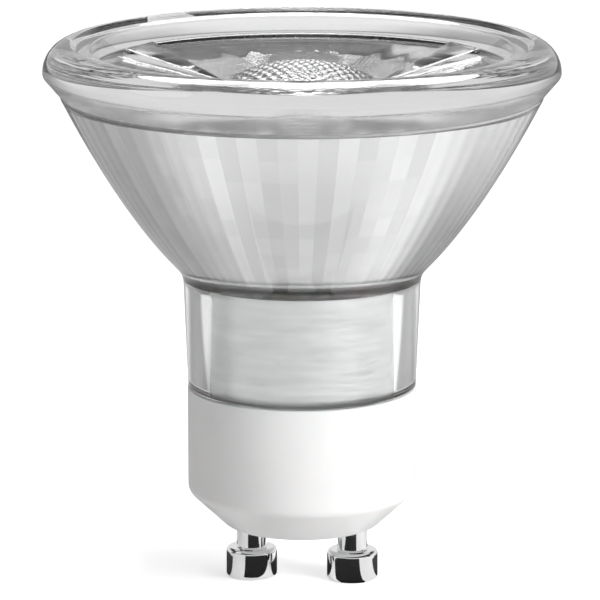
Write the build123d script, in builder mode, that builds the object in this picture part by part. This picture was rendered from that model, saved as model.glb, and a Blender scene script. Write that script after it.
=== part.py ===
from build123d import *
import os
from math import asin, cos, degrees, hypot, pi, radians, sin, sqrt, tan

# LED reflector spotlight with a twist-lock two-pin base, in millimetres.
# The origin is on the bulb's axis at the level of the pin ends, +Z points to the lens, the pins lie along X.

# Contact pins
pin_spacing = 10.0
pin_head_diameter = 5.0
pin_head_height = 3.0
pin_head_edge = 0.4
pin_neck_diameter = 3.0
pin_neck_length = 2.7
pin_tail_diameter = 2.2
pin_rivet_diameter = 2.8
pin_rivet_height = 0.6

# Base cap
base_diameter = 22.4
base_height = 13.9
base_chamfer_width = 3.7
base_chamfer_height = 3.5
base_floor = 1.8
base_rim_wall = 1.1
base_well_depth = 2.5
base_edge_radius = 1.2

# Glass reflector
neck_step = 0.05
neck_flare = 0.45
neck_height = 11.2
neck_fillet = 2.5
spigot_depth = 4.0
spigot_wall = 1.05
cement_gap = 0.15
cement_bed = 0.2
focal_length = 5.85
cup_wall = 1.7
throat_land = 0.6
facet_count = 72
facet_rows = 10

# Lens and its seal
seal_thickness = 0.25
seal_setback = 0.2
lens_diameter = 50.0
lens_overhang = 1.7
lens_flare_height = 2.0
lens_bead_height = 4.95
lens_bead_radius = 1.5
crest_inset = 2.7
ring_width = 1.9
ring_step = 0.5
recess_draft = 0.4
recess_depth = 2.3
dish_depth = 2.5
dome_diameter = 17.3
dome_height = 2.9
lens_wall = 2.8
lens_clearance = 0.2
lens_turn = 6.0
rib_count = 3
rib_end_gap = 1.4
rib_width = 6.6
rib_height = 0.9
rib_tip_width = 0.9
rib_tip_height = 0.2
rib_draft = 30.0
rib_sink = 0.3
lenslet_pitch = 1.0
lenslet_ball_radius = 0.7
lenslet_rise = 0.13
lenslet_sink = 0.05
lenslet_margin = 0.8

# Heat sink
sleeve_clearance = 0.1
sleeve_wall = 0.6
sleeve_seat = 0.2
seam_angle = 90.0
seam_gap = 0.3
plate_thickness = 2.2
plate_clearance = 0.05

# Light source
pad_thickness = 0.3
led_board_thickness = 1.0
phosphor_diameter = 6.0
phosphor_height = 0.6
dam_width = 0.4
screw_edge_distance = 1.65
screw_diameter = 2.0
screw_length = 3.2
screw_head_diameter = 3.2
screw_head_height = 1.1
screw_slot_width = 0.5
screw_slot_depth = 0.5
hole_clearance = 0.1

# Driver
insulator_clearance = 0.15
insulator_wall = 0.5
insulator_seat = 0.35
insulator_top = 0.8
driver_board_clearance = 0.1
driver_board_thickness = 1.0
driver_board_offset = 2.4
driver_board_headroom = 0.4
part_clearance = 0.05
part_gap = 0.3
wire_diameter = 1.0
wire_lap = 2.0
wire_stand = 0.5
wire_edge_distance = 0.8
solder_diameter = 1.7
lead_diameter = 0.5
lead_drop = 0.8
lead_reach = 0.8
electrolytic_diameter = 6.3
electrolytic_length = 8.0
can_edge = 0.4
can_groove_height = 1.4
can_lead_pitch = 2.5
choke_diameter = 4.5
choke_length = 7.5
choke_flange = 1.0
choke_post_diameter = 2.2
choke_wire_diameter = 0.45
choke_layers = 2
film_width = 6.0
film_depth = 3.2
film_height = 4.0
film_edge = 0.5
resistor_diameter = 2.2
resistor_length = 5.5
resistor_edge = 0.4
bridge_width = 4.4
bridge_height = 3.9
bridge_depth = 1.4
bridge_lead_pitch = 2.5
chip_width = 3.9
chip_height = 4.9
chip_depth = 1.4
chip_edge = 0.3
lead_foot_reach = 1.0
lead_foot_width = 0.4
lead_foot_thickness = 0.2
chip_lead_pitch = 1.27
chip_resistor_width = 2.0
chip_resistor_height = 1.25
chip_resistor_depth = 0.5
chip_resistor_pitch = 2.4

# Radii shared by pieces that fit together
base_radius = base_diameter / 2
base_underside_radius = base_radius - base_chamfer_width
base_rim_radius = base_radius - base_rim_wall
spigot_radius = base_rim_radius - cement_gap
bore_radius = spigot_radius - spigot_wall
neck_foot_radius = base_radius - neck_step
neck_top_radius = neck_foot_radius + neck_flare
throat_radius = bore_radius + throat_land
lens_radius = lens_diameter / 2
rim_radius = lens_radius - lens_overhang
mouth_radius = rim_radius - cup_wall
sleeve_radius = bore_radius - sleeve_clearance
sleeve_inner_radius = sleeve_radius - sleeve_wall
plate_radius = sleeve_inner_radius - plate_clearance
base_bore_radius = sleeve_inner_radius - sleeve_seat
insulator_radius = base_bore_radius - insulator_clearance
insulator_inner_radius = insulator_radius - insulator_wall
base_well_radius = insulator_inner_radius - insulator_seat

# Levels worked out from the sizes above
base_bottom_z = pin_head_height + pin_neck_length
base_top_z = base_bottom_z + base_height
floor_z = base_bottom_z + base_floor
rivet_z = floor_z - pin_rivet_height
well_z = floor_z + base_well_depth
ledge_z = base_top_z - spigot_depth - cement_bed
neck_top_z = base_top_z + neck_height
vertex_z = neck_top_z - neck_top_radius**2 / (4 * focal_length)
focus_z = vertex_z + focal_length
led_board_top_z = focus_z - phosphor_height
led_board_z = led_board_top_z - led_board_thickness
pad_z = led_board_z - pad_thickness
plate_z = pad_z - plate_thickness
mouth_z = vertex_z + rim_radius**2 / (4 * focal_length)
lens_z = mouth_z + seal_thickness
crest_z = lens_z + lens_bead_height

# Places on and around the driver board
board_front_y = driver_board_offset
board_back_y = driver_board_offset + driver_board_thickness
board_half_width = sqrt(base_well_radius**2 - board_back_y**2) - driver_board_clearance
board_top_z = plate_z - insulator_top - driver_board_headroom
wire_y = board_front_y - wire_diameter / 2 - part_clearance
wire_x = board_half_width - wire_edge_distance
wire_spots = [(-wire_x, wire_y), (wire_x, wire_y)]
screw_y = plate_radius - screw_edge_distance
screw_spots = [(0, -screw_y), (0, screw_y)]


# Height on the cup's outer paraboloid at a given radius
def paraboloid_z(radius):
    return vertex_z + radius**2 / (4 * focal_length)


# Round wire along straight runs with one rounded corner
def bent_wire(start, corner, end, diameter, bend):
    with BuildPart() as wire:
        with BuildLine() as path:
            FilletPolyline(start, corner, end, radius=bend)
        with BuildSketch(Plane(start, z_dir=path.line % 0)):
            Circle(diameter / 2)
        sweep()
    return wire.part


# Turned pin with a rounded head below, a thinner neck, and a tail riveted into the base's floor
def contact_pin(x):
    with BuildPart() as pin:
        with BuildSketch(Plane.XZ) as section:
            with BuildLine():
                Polyline(
                    (0, 0),
                    (pin_head_diameter / 2, 0),
                    (pin_head_diameter / 2, pin_head_height),
                    (pin_neck_diameter / 2, pin_head_height),
                    (pin_neck_diameter / 2, base_bottom_z),
                    (pin_tail_diameter / 2, base_bottom_z),
                    (pin_tail_diameter / 2, rivet_z),
                    (pin_rivet_diameter / 2, rivet_z),
                    (pin_rivet_diameter / 2, floor_z),
                    (0, floor_z),
                    close=True,
                )
            make_face()
            head_corners = section.vertices().filter_by_position(
                Axis.X, pin_head_diameter / 2, pin_head_diameter / 2
            )
            fillet(head_corners, pin_head_edge)
        revolve(axis=Axis.Z)
    return pin.part.moved(Location((x, 0, 0)))


contact_pin_left = contact_pin(-pin_spacing / 2)
contact_pin_right = contact_pin(pin_spacing / 2)

# White base cap with a chamfered underside, stepped inside for the neck, the sleeve and the driver
with BuildPart() as base_cap:
    with BuildSketch(Plane.XZ) as base_section:
        with BuildLine():
            Polyline(
                (0, base_bottom_z),
                (base_underside_radius, base_bottom_z),
                (base_radius, base_bottom_z + base_chamfer_height),
                (base_radius, base_top_z),
                (base_rim_radius, base_top_z),
                (base_rim_radius, ledge_z),
                (base_bore_radius, ledge_z),
                (base_bore_radius, well_z),
                (base_well_radius, well_z),
                (base_well_radius, floor_z),
                (0, floor_z),
                close=True,
            )
        make_face()
        outer_corners = base_section.vertices().filter_by_position(
            Axis.X, base_underside_radius, base_radius
        ).sort_by(Axis.Y)[:2]
        fillet(outer_corners, base_edge_radius)
    revolve(axis=Axis.Z)
    with Locations(Plane.XY.offset(floor_z)):
        with GridLocations(pin_spacing, 0, 2, 1):
            CounterBoreHole(
                radius=(pin_tail_diameter + hole_clearance) / 2,
                counter_bore_radius=(pin_rivet_diameter + hole_clearance) / 2,
                counter_bore_depth=pin_rivet_height,
                depth=base_floor,
            )

# Pressed glass cup and neck, a paraboloid outside, with flat mirror facets in rings inside
with BuildPart() as glass_reflector:
    with BuildSketch(Plane.XZ) as glass_section:
        with BuildLine():
            Polyline(
                (bore_radius, ledge_z + cement_bed),
                (spigot_radius, ledge_z + cement_bed),
                (spigot_radius, base_top_z),
                (neck_foot_radius, base_top_z),
                (neck_top_radius, neck_top_z),
            )
            Bezier(
                (neck_top_radius, neck_top_z),
                (
                    (neck_top_radius + rim_radius) / 2,
                    vertex_z + neck_top_radius * rim_radius / (4 * focal_length),
                ),
                (rim_radius, mouth_z),
            )
            Polyline(
                (rim_radius, mouth_z),
                (bore_radius, mouth_z),
                (bore_radius, ledge_z + cement_bed),
            )
        make_face()
        neck_corner = glass_section.vertices().filter_by_position(Axis.Y, neck_top_z, neck_top_z)
        fillet(neck_corner, neck_fillet)
    revolve(axis=Axis.Z)
    for row in range(facet_rows + 1):
        row_radius = throat_radius + (mouth_radius - throat_radius) * row / facet_rows
        with BuildSketch(Plane.XY.offset(paraboloid_z(row_radius + cup_wall))):
            RegularPolygon(row_radius, facet_count)
    loft(ruled=True, mode=Mode.SUBTRACT)

# Cement in the gap between the glass neck and the base cap
with BuildPart() as neck_cement:
    with BuildSketch(Plane.XZ):
        with BuildLine():
            Polyline(
                (bore_radius, ledge_z),
                (base_rim_radius, ledge_z),
                (base_rim_radius, base_top_z),
                (spigot_radius, base_top_z),
                (spigot_radius, ledge_z + cement_bed),
                (bore_radius, ledge_z + cement_bed),
                close=True,
            )
        make_face()
    revolve(axis=Axis.Z)

# Thin bonded ring between the glass mouth and the lens
with BuildPart() as lens_seal_ring:
    with BuildSketch(Plane.XY.offset(mouth_z)):
        Circle(rim_radius - seal_setback)
        Circle(mouth_radius + seal_setback, mode=Mode.SUBTRACT)
    extrude(amount=seal_thickness)

# Levels and radii of the lens
crest_radius = lens_radius - crest_inset
ring_radius = crest_radius - ring_width
recess_radius = ring_radius - recess_draft
dome_radius = dome_diameter / 2
recess_z = crest_z - recess_depth
dish_z = recess_z - dish_depth
seat_radius = mouth_radius * cos(pi / facet_count) - lens_clearance
dome_apex_z = dish_z + dome_height
dome_ball_radius = (dome_radius**2 + dome_height**2) / (2 * dome_height)


# Height of the dish's cone at a given radius
def dish_height(radius):
    share = (radius - dome_radius) / (recess_radius - dome_radius)
    return dish_z + share * dish_depth


# One flat-topped rib along +X, wide near the rim and narrowing to the dome
with BuildPart() as lens_rib:
    rib_ends = [
        (recess_radius - rib_end_gap, rib_width, rib_height),
        (dome_radius - rib_sink, rib_tip_width, rib_tip_height),
    ]
    for radius, width, height in rib_ends:
        top_width = width - 2 * (height + rib_sink) * tan(radians(rib_draft))
        end_plane = Plane((radius, 0, dish_height(radius)), x_dir=(0, 1, 0), z_dir=(1, 0, 0))
        with BuildSketch(end_plane):
            Polygon(
                (-width / 2, -rib_sink),
                (width / 2, -rib_sink),
                (top_width / 2, height),
                (-top_width / 2, height),
                align=None,
            )
    loft(ruled=True)

# One small round lens of the dome, a shallow cap of a ball
lenslet_angle = degrees(asin(1 - (lenslet_rise + lenslet_sink) / lenslet_ball_radius))
with BuildPart() as lenslet:
    Sphere(
        lenslet_ball_radius,
        arc_size1=lenslet_angle,
        align=(Align.CENTER, Align.CENTER, Align.MAX),
    )

# Their places on the dome, in a hexagonal pattern, each pointing away from the dome's centre
dome_centre_z = dome_apex_z - dome_ball_radius
lenslet_count = int(dome_diameter / (lenslet_pitch * cos(pi / 6))) + 1
lenslet_spots = []
for spot in HexLocations(lenslet_pitch / 2, lenslet_count, lenslet_count):
    x, y = spot.position.X, spot.position.Y
    if hypot(x, y) < dome_radius - lenslet_margin:
        outward = Vector(x, y, sqrt(dome_ball_radius**2 - x**2 - y**2)).normalized()
        top = outward * (dome_ball_radius + lenslet_rise) + Vector(0, 0, dome_centre_z)
        lenslet_spots.append(Plane(top, z_dir=outward))

# Clear lens: rounded rim bead, stepped rings, conical dish with three ribs, and a dome of small lenses
with BuildPart() as front_lens:
    with BuildSketch(Plane.XZ) as lens_section:
        with BuildLine():
            Polyline(
                (dome_radius, dish_z),
                (recess_radius, recess_z),
                (ring_radius, crest_z - ring_step),
                (crest_radius - ring_step, crest_z - ring_step),
                (crest_radius, crest_z),
                (lens_radius, crest_z),
                (lens_radius, lens_z + lens_flare_height),
                (rim_radius, lens_z),
                (seat_radius, lens_z),
                (seat_radius, dish_height(seat_radius) - lens_wall),
                (dome_radius, dish_z - lens_wall),
                (0, dish_z - lens_wall),
                (0, dome_apex_z),
            )
            RadiusArc((0, dome_apex_z), (dome_radius, dish_z), dome_ball_radius)
        make_face()
        bead_corner = (
            lens_section.vertices()
            .filter_by_position(Axis.X, lens_radius, lens_radius)
            .sort_by(Axis.Y)[-1]
        )
        fillet(bead_corner, lens_bead_radius)
    revolve(axis=Axis.Z)
    with PolarLocations(0, rib_count, start_angle=lens_turn - 90):
        add(lens_rib.part)
    with Locations(*lenslet_spots):
        add(lenslet.part)

# Rolled aluminium sleeve with a butt seam at the back, up to the top of the light source's board
sleeve_height = led_board_top_z - ledge_z
with BuildPart() as heat_sink_sleeve:
    with BuildSketch(Plane.XY.offset(ledge_z)):
        Circle(sleeve_radius)
        Circle(sleeve_inner_radius, mode=Mode.SUBTRACT)
    extrude(amount=sleeve_height)
    seam_plane = Plane(
        (0, 0, ledge_z + sleeve_height / 2),
        x_dir=(0, 0, 1),
        z_dir=(cos(radians(seam_angle)), sin(radians(seam_angle)), 0),
    )
    with BuildSketch(seam_plane):
        Rectangle(sleeve_height, seam_gap)
    extrude(amount=sleeve_radius, mode=Mode.SUBTRACT)

# Aluminium disc that closes the sleeve and takes the board's screws
with BuildPart() as heat_sink_plate:
    with BuildSketch(Plane.XY.offset(plate_z)):
        Circle(plate_radius)
    extrude(amount=plate_thickness)
    with Locations(Plane.XY.offset(pad_z)):
        with Locations(*screw_spots):
            Hole(screw_diameter / 2 + hole_clearance / 2)
        with Locations(*wire_spots):
            Hole(wire_diameter / 2 + hole_clearance)

# Soft pad that carries heat from the board to the plate
with BuildPart() as thermal_pad:
    with BuildSketch(Plane.XY.offset(pad_z)):
        Circle(plate_radius)
        with Locations(*screw_spots):
            Circle(screw_diameter / 2 + hole_clearance, mode=Mode.SUBTRACT)
        with Locations(*wire_spots):
            Circle(wire_diameter / 2 + hole_clearance, mode=Mode.SUBTRACT)
    extrude(amount=pad_thickness)

# Metal-core board for the light source
with BuildPart() as led_board:
    with BuildSketch(Plane.XY.offset(led_board_z)):
        Circle(plate_radius)
        with Locations(*screw_spots):
            Circle(screw_diameter / 2 + hole_clearance, mode=Mode.SUBTRACT)
        with Locations(*wire_spots):
            Circle(wire_diameter / 2 + hole_clearance, mode=Mode.SUBTRACT)
    extrude(amount=led_board_thickness)

# Phosphor disc and the silicone dam round it
with BuildPart() as led_phosphor:
    with BuildSketch(Plane.XY.offset(led_board_top_z)):
        Circle(phosphor_diameter / 2)
    extrude(amount=phosphor_height)

with BuildPart() as led_dam_ring:
    with BuildSketch(Plane.XZ):
        with Locations((phosphor_diameter / 2 + dam_width / 2, led_board_top_z)):
            Rectangle(dam_width, phosphor_height, align=(Align.CENTER, Align.MIN))
    revolve(axis=Axis.Z)

# Slotted pan-head screws through the board and the pad into the plate
with BuildPart() as led_board_screws:
    with Locations(Plane.XY.offset(led_board_top_z)):
        with Locations(*screw_spots):
            Cylinder(
                screw_head_diameter / 2,
                screw_head_height,
                align=(Align.CENTER, Align.CENTER, Align.MIN),
            )
            Cylinder(screw_diameter / 2, screw_length, align=(Align.CENTER, Align.CENTER, Align.MAX))
    screw_rims = led_board_screws.edges().group_by(Axis.Z)[-1]
    fillet(screw_rims, screw_head_height / 3)
    with Locations(Plane.XY.offset(led_board_top_z + screw_head_height)):
        with Locations(*screw_spots):
            Box(
                screw_head_diameter,
                screw_slot_width,
                screw_slot_depth,
                align=(Align.CENTER, Align.CENTER, Align.MAX),
                mode=Mode.SUBTRACT,
            )


# Straight insulated lead from the driver board up to the light source
def led_wire(spot):
    with BuildPart() as wire:
        with BuildSketch(Plane.XY.offset(board_top_z - wire_lap)):
            with Locations(spot):
                Circle(wire_diameter / 2)
        extrude(amount=led_board_top_z + wire_stand - (board_top_z - wire_lap))
    return wire.part


led_wire_negative = led_wire(wire_spots[0])
led_wire_positive = led_wire(wire_spots[1])

# Solder round the ends of both leads on the board
with BuildPart() as led_solder_joints:
    with Locations(Plane.XY.offset(led_board_top_z)):
        with Locations(*wire_spots):
            Cone(
                solder_diameter / 2,
                wire_diameter / 2 + hole_clearance,
                wire_stand,
                align=(Align.CENTER, Align.CENTER, Align.MIN),
            )
            Hole(wire_diameter / 2)

# Plastic cup over the driver, between the base cap's ledge and the plate
with BuildPart() as driver_insulator:
    with BuildSketch(Plane.XY.offset(well_z)):
        Circle(insulator_radius)
    extrude(amount=plate_z - well_z)
    with BuildSketch(Plane.XY.offset(well_z)):
        Circle(insulator_inner_radius)
    extrude(amount=plate_z - insulator_top - well_z, mode=Mode.SUBTRACT)
    with Locations(Plane.XY.offset(plate_z)):
        with Locations(*wire_spots):
            Hole(wire_diameter / 2 + hole_clearance, depth=insulator_top)

# Driver circuit board, upright on the base cap's floor
with BuildPart() as driver_board:
    with BuildSketch(Plane.XY.offset(floor_z)):
        with Locations((0, (board_front_y + board_back_y) / 2)):
            Rectangle(2 * board_half_width, driver_board_thickness)
    extrude(amount=board_top_z - floor_z)

# Levels and places of the parts on the driver board
film_z = floor_z + part_clearance
coil_z = film_z + film_height + part_gap + lead_diameter / 2 + lead_drop
part_y = board_front_y - part_clearance
can_x = -choke_diameter / 2 - part_clearance
can_y = part_y - electrolytic_diameter / 2
choke_x = electrolytic_diameter / 2 + part_clearance
choke_y = part_y - choke_diameter / 2
resistor_y = part_y - resistor_diameter / 2
resistor_z = coil_z + max(electrolytic_length, choke_length) + part_gap + resistor_diameter / 2
back_plane = Plane((0, board_back_y, 0), x_dir=(-1, 0, 0), z_dir=(0, 1, 0))
can_lead_spots = [can_x - can_lead_pitch / 2, can_x + can_lead_pitch / 2]
can_leads = [
    bent_wire(
        (x, can_y, coil_z),
        (x, can_y, coil_z - lead_drop),
        (x, board_front_y, coil_z - lead_drop),
        lead_diameter,
        lead_diameter,
    )
    for x in can_lead_spots
]
resistor_leads = [
    bent_wire(
        (side * resistor_length / 2, resistor_y, resistor_z),
        (side * (resistor_length / 2 + lead_reach), resistor_y, resistor_z),
        (side * (resistor_length / 2 + lead_reach), board_front_y, resistor_z),
        lead_diameter,
        lead_diameter,
    )
    for side in (-1, 1)
]

# Electrolytic capacitor along the board: a rounded can with a rolled groove near its foot
with BuildPart() as electrolytic_capacitor:
    with BuildSketch(Plane.XY.offset(coil_z)):
        with Locations((can_x, can_y)):
            Circle(electrolytic_diameter / 2)
    extrude(amount=electrolytic_length)
    fillet(electrolytic_capacitor.edges().filter_by(GeomType.CIRCLE), can_edge)
    with Locations((can_x, can_y, coil_z + can_groove_height)):
        Torus(electrolytic_diameter / 2 + can_edge / 2, can_edge, mode=Mode.SUBTRACT)
    add(can_leads)

# Ferrite drum of the choke
with BuildPart() as choke_core:
    with Locations((choke_x, choke_y, coil_z)):
        Cylinder(choke_diameter / 2, choke_flange, align=(Align.CENTER, Align.CENTER, Align.MIN))
        Cylinder(choke_post_diameter / 2, choke_length, align=(Align.CENTER, Align.CENTER, Align.MIN))
    with Locations((choke_x, choke_y, coil_z + choke_length)):
        Cylinder(choke_diameter / 2, choke_flange, align=(Align.CENTER, Align.CENTER, Align.MAX))

# Copper turns on the drum, side by side between its flanges
winding_height = choke_length - 2 * choke_flange
winding_turns = int(winding_height / choke_wire_diameter)
winding_pitch = winding_height / winding_turns
winding_depth = choke_wire_diameter * choke_layers
with BuildPart() as choke_winding:
    with BuildSketch(Plane((choke_x, choke_y, coil_z + choke_length / 2), x_dir=(1, 0, 0), z_dir=(0, -1, 0))):
        with Locations((choke_post_diameter / 2, 0)):
            Rectangle(winding_depth - winding_pitch / 2, winding_height, align=(Align.MIN, Align.CENTER))
        with Locations((choke_post_diameter / 2 + winding_depth - winding_pitch / 2, 0)):
            with GridLocations(0, winding_pitch, 1, winding_turns):
                Circle(winding_pitch / 2)
    revolve(axis=Axis((choke_x, choke_y, 0), (0, 0, 1)))

# Film capacitor with rounded edges, standing low between the pins
with BuildPart() as film_capacitor:
    with Locations((0, part_y, film_z)):
        Box(film_width, film_depth, film_height, align=(Align.CENTER, Align.MAX, Align.MIN))
    fillet(film_capacitor.edges().filter_by(Axis.Z), film_edge)

# Fusible resistor across the top of the board
with BuildPart() as fusible_resistor:
    with BuildSketch(Plane.YZ):
        with Locations((resistor_y, resistor_z)):
            Circle(resistor_diameter / 2)
    extrude(amount=resistor_length / 2, both=True)
    fillet(fusible_resistor.edges().filter_by(GeomType.CIRCLE), resistor_edge)
    add(resistor_leads)

# Levels of the surface-mounted parts, in a column on the back of the board
bridge_z = well_z + part_gap + bridge_height / 2
chip_z = bridge_z + bridge_height / 2 + part_gap + chip_height / 2
chip_resistor_z = chip_z + (chip_height + chip_resistor_height + chip_resistor_pitch) / 2 + part_gap


# Moulded chip on the back of the board, with a row of flat lead feet on each side
def leaded_chip(z, width, height, depth, lead_pitch, lead_rows):
    with BuildPart() as chip:
        with BuildSketch(back_plane):
            with Locations((0, z)):
                Rectangle(width, height)
        extrude(amount=depth)
        chamfer(chip.faces().sort_by(Axis.Y)[-1].edges(), chip_edge)
        with BuildSketch(back_plane):
            with Locations((0, z)):
                with GridLocations(0, lead_pitch, 1, lead_rows):
                    Rectangle(width + 2 * lead_foot_reach, lead_foot_width)
        extrude(amount=lead_foot_thickness)
    return chip.part


bridge_rectifier = leaded_chip(
    bridge_z, bridge_width, bridge_height, bridge_depth, bridge_lead_pitch, 2
)
driver_chip = leaded_chip(chip_z, chip_width, chip_height, chip_depth, chip_lead_pitch, 4)

with BuildPart() as chip_resistors:
    with BuildSketch(back_plane):
        with Locations((0, chip_resistor_z)):
            with GridLocations(chip_resistor_pitch, chip_resistor_pitch, 2, 2):
                Rectangle(chip_resistor_width, chip_resistor_height)
    extrude(amount=chip_resistor_depth)


# Lead from a pin's tail to the front of the driver board
def input_wire(x):
    turn_z = floor_z + 2 * wire_diameter
    return bent_wire(
        (x, 0, floor_z),
        (x, 0, turn_z),
        (x, board_front_y, turn_z),
        wire_diameter,
        wire_diameter,
    )


input_wire_left = input_wire(-pin_spacing / 2)
input_wire_right = input_wire(pin_spacing / 2)

# One STEP file for each piece
pieces = {
    "front_lens": front_lens.part,
    "lens_seal_ring": lens_seal_ring.part,
    "glass_reflector": glass_reflector.part,
    "neck_cement": neck_cement.part,
    "base_cap": base_cap.part,
    "contact_pin_left": contact_pin_left,
    "contact_pin_right": contact_pin_right,
    "heat_sink_sleeve": heat_sink_sleeve.part,
    "heat_sink_plate": heat_sink_plate.part,
    "thermal_pad": thermal_pad.part,
    "led_board": led_board.part,
    "led_phosphor": led_phosphor.part,
    "led_dam_ring": led_dam_ring.part,
    "led_board_screws": led_board_screws.part,
    "led_wire_negative": led_wire_negative,
    "led_wire_positive": led_wire_positive,
    "led_solder_joints": led_solder_joints.part,
    "driver_insulator": driver_insulator.part,
    "driver_board": driver_board.part,
    "electrolytic_capacitor": electrolytic_capacitor.part,
    "choke_core": choke_core.part,
    "choke_winding": choke_winding.part,
    "film_capacitor": film_capacitor.part,
    "fusible_resistor": fusible_resistor.part,
    "bridge_rectifier": bridge_rectifier,
    "driver_chip": driver_chip,
    "chip_resistors": chip_resistors.part,
    "input_wire_left": input_wire_left,
    "input_wire_right": input_wire_right,
}
os.makedirs("parts", exist_ok=True)
for name, piece in pieces.items():
    piece.label = name
    export_step(piece, f"parts/{name}.step")
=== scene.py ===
import bpy
import bmesh
import math
from mathutils import Matrix, Vector, noise


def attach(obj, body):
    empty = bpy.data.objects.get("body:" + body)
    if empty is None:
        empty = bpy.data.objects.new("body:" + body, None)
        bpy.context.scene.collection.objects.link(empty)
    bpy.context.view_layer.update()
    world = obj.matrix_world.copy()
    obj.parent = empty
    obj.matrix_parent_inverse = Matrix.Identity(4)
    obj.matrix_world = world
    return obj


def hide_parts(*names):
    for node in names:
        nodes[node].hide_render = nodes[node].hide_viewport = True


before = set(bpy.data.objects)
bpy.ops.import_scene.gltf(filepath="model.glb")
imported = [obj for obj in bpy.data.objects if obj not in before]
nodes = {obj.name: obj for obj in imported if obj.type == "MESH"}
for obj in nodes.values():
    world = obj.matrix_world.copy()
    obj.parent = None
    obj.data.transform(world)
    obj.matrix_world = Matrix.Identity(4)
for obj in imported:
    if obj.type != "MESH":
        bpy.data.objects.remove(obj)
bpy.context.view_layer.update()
mm = 0.001
fullTurn = 2 * math.pi
arcStep, arcLeast = math.radians(9), 3  # about the step of a rounding's arc, and its fewest steps
legShare = 0.49  # how much of an outline's leg one rounding may take
smoothAngle = 32  # degrees between two faces that still look smooth
noiseLow, noiseHigh = 0.3, 0.7  # nearly all of the noise lies between these
print("frame loaded,", len(nodes), "nodes")


# shared mesh helpers, all sizes in mm until the mesh is made
def roundCorners(outline):
    # outline rows are (radius, height, corner rounding); each rounding becomes a short arc
    done = []
    for i, (r, z, rounding) in enumerate(outline):
        if not rounding:
            done.append((r, z))
            continue
        here = Vector((r, z))
        before = Vector(outline[i - 1][:2])
        after = Vector(outline[i + 1][:2])
        inDir = (before - here).normalized()
        outDir = (after - here).normalized()
        half = inDir.angle(outDir) / 2
        shortLeg = min((before - here).length, (after - here).length)
        reach = min(rounding / math.tan(half), legShare * shortLeg)
        size = reach * math.tan(half)
        centre = here + (inDir + outDir).normalized() * (size / math.sin(half))
        start = here + inDir * reach - centre
        end = here + outDir * reach - centre
        sweep = start.angle_signed(end)
        steps = max(arcLeast, int(abs(sweep) / arcStep))
        for k in range(steps + 1):
            turn = -sweep * k / steps
            c, s = math.cos(turn), math.sin(turn)
            done.append((centre.x + start.x * c - start.y * s, centre.y + start.x * s + start.y * c))
    return done


def addRing(work, r, z, segments):
    turns = [fullTurn * k / segments for k in range(segments)]
    return [work.verts.new((r * mm * math.cos(turn), r * mm * math.sin(turn), z * mm)) for turn in turns]


def joinRings(work, rings, segments):
    # faces from each ring to the next; a ring of one vertex is a pole
    faces = []
    for a, b in zip(rings, rings[1:]):
        for k in range(segments):
            n = (k + 1) % segments
            if len(a) == 1:
                corners = (a[0], b[k], b[n])
            elif len(b) == 1:
                corners = (a[k], a[n], b[0])
            else:
                corners = (a[k], a[n], b[n], b[k])
            faces.append(work.faces.new(corners))
    return faces


def meshFrom(work, name):
    bmesh.ops.recalc_face_normals(work, faces=work.faces)
    mesh = bpy.data.meshes.new(name)
    work.to_mesh(mesh)
    work.free()
    return mesh


def smoothShade(mesh, angle):
    mesh.shade_smooth()
    mesh.set_sharp_from_angle(angle=math.radians(angle))


def turnedMesh(name, outline, segments):
    # a lathe: the outline goes round the bulb's axis, points on the axis become poles
    work = bmesh.new()
    rings = []
    for r, z in outline:
        rings.append(addRing(work, r, z, segments) if r else [work.verts.new((0, 0, z * mm))])
    joinRings(work, rings, segments)
    mesh = meshFrom(work, name)
    smoothShade(mesh, smoothAngle)
    return mesh


def shiftSide(mesh, distance):
    for vert in mesh.vertices:
        vert.co.x += distance * mm


def newPiece(name, mesh):
    piece = bpy.data.objects.new(name, mesh)
    bpy.context.scene.collection.objects.link(piece)
    return piece


def settle(piece, slot, *cadNodes):
    # rides on the bulb's one body and stands for its CAD nodes
    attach(piece, "root")
    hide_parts(*cadNodes)
    print("piece", piece.name, len(piece.data.polygons), "faces")


def plainMesh(piece):
    # evaluated modifiers become the piece's own mesh
    graph = bpy.context.evaluated_depsgraph_get()
    mesh = bpy.data.meshes.new_from_object(piece.evaluated_get(graph))
    piece.modifiers.clear()
    piece.data = mesh
    return mesh


def recoat(mesh, finish):
    mesh.materials.clear()
    mesh.materials.append(finish)


# node tree helpers
def newTree(name, sockets):
    tree = bpy.data.node_groups.new(name, "GeometryNodeTree")
    tree.interface.new_socket("Geometry", in_out="INPUT", socket_type="NodeSocketGeometry")
    tree.interface.new_socket("Geometry", in_out="OUTPUT", socket_type="NodeSocketGeometry")
    for label, kind in sockets:
        tree.interface.new_socket(label, in_out="INPUT", socket_type="NodeSocket" + kind)
    return tree, tree.nodes.new("NodeGroupInput"), tree.nodes.new("NodeGroupOutput")


def useTree(piece, tree, values):
    modifier = piece.modifiers.new(tree.name, "NODES")
    modifier.node_group = tree
    for item in tree.interface.items_tree:
        if item.in_out == "INPUT" and item.name in values:
            modifier[item.identifier] = values[item.name]


def addNode(tree, kind, **settings):
    node = tree.nodes.new(kind)
    for key, value in settings.items():
        setattr(node, key, value)
    return node


def calc(tree, operation, *sources):
    # one Math node; a source is a socket or a number
    node = addNode(tree, "ShaderNodeMath", operation=operation)
    for place, source in enumerate(sources):
        if isinstance(source, (int, float)):
            node.inputs[place].default_value = source
        else:
            tree.links.new(source, node.inputs[place])
    return node.outputs[0]


def squareSum(tree, a, b):
    return calc(tree, "ADD", calc(tree, "MULTIPLY", a, a), calc(tree, "MULTIPLY", b, b))


def axes(tree, source):
    split = tree.nodes.new("ShaderNodeSeparateXYZ")
    tree.links.new(source, split.inputs[0])
    return split.outputs


def realized(tree, geometry):
    real = tree.nodes.new("GeometryNodeRealizeInstances")
    tree.links.new(geometry, real.inputs[0])
    return real.outputs[0]


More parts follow.
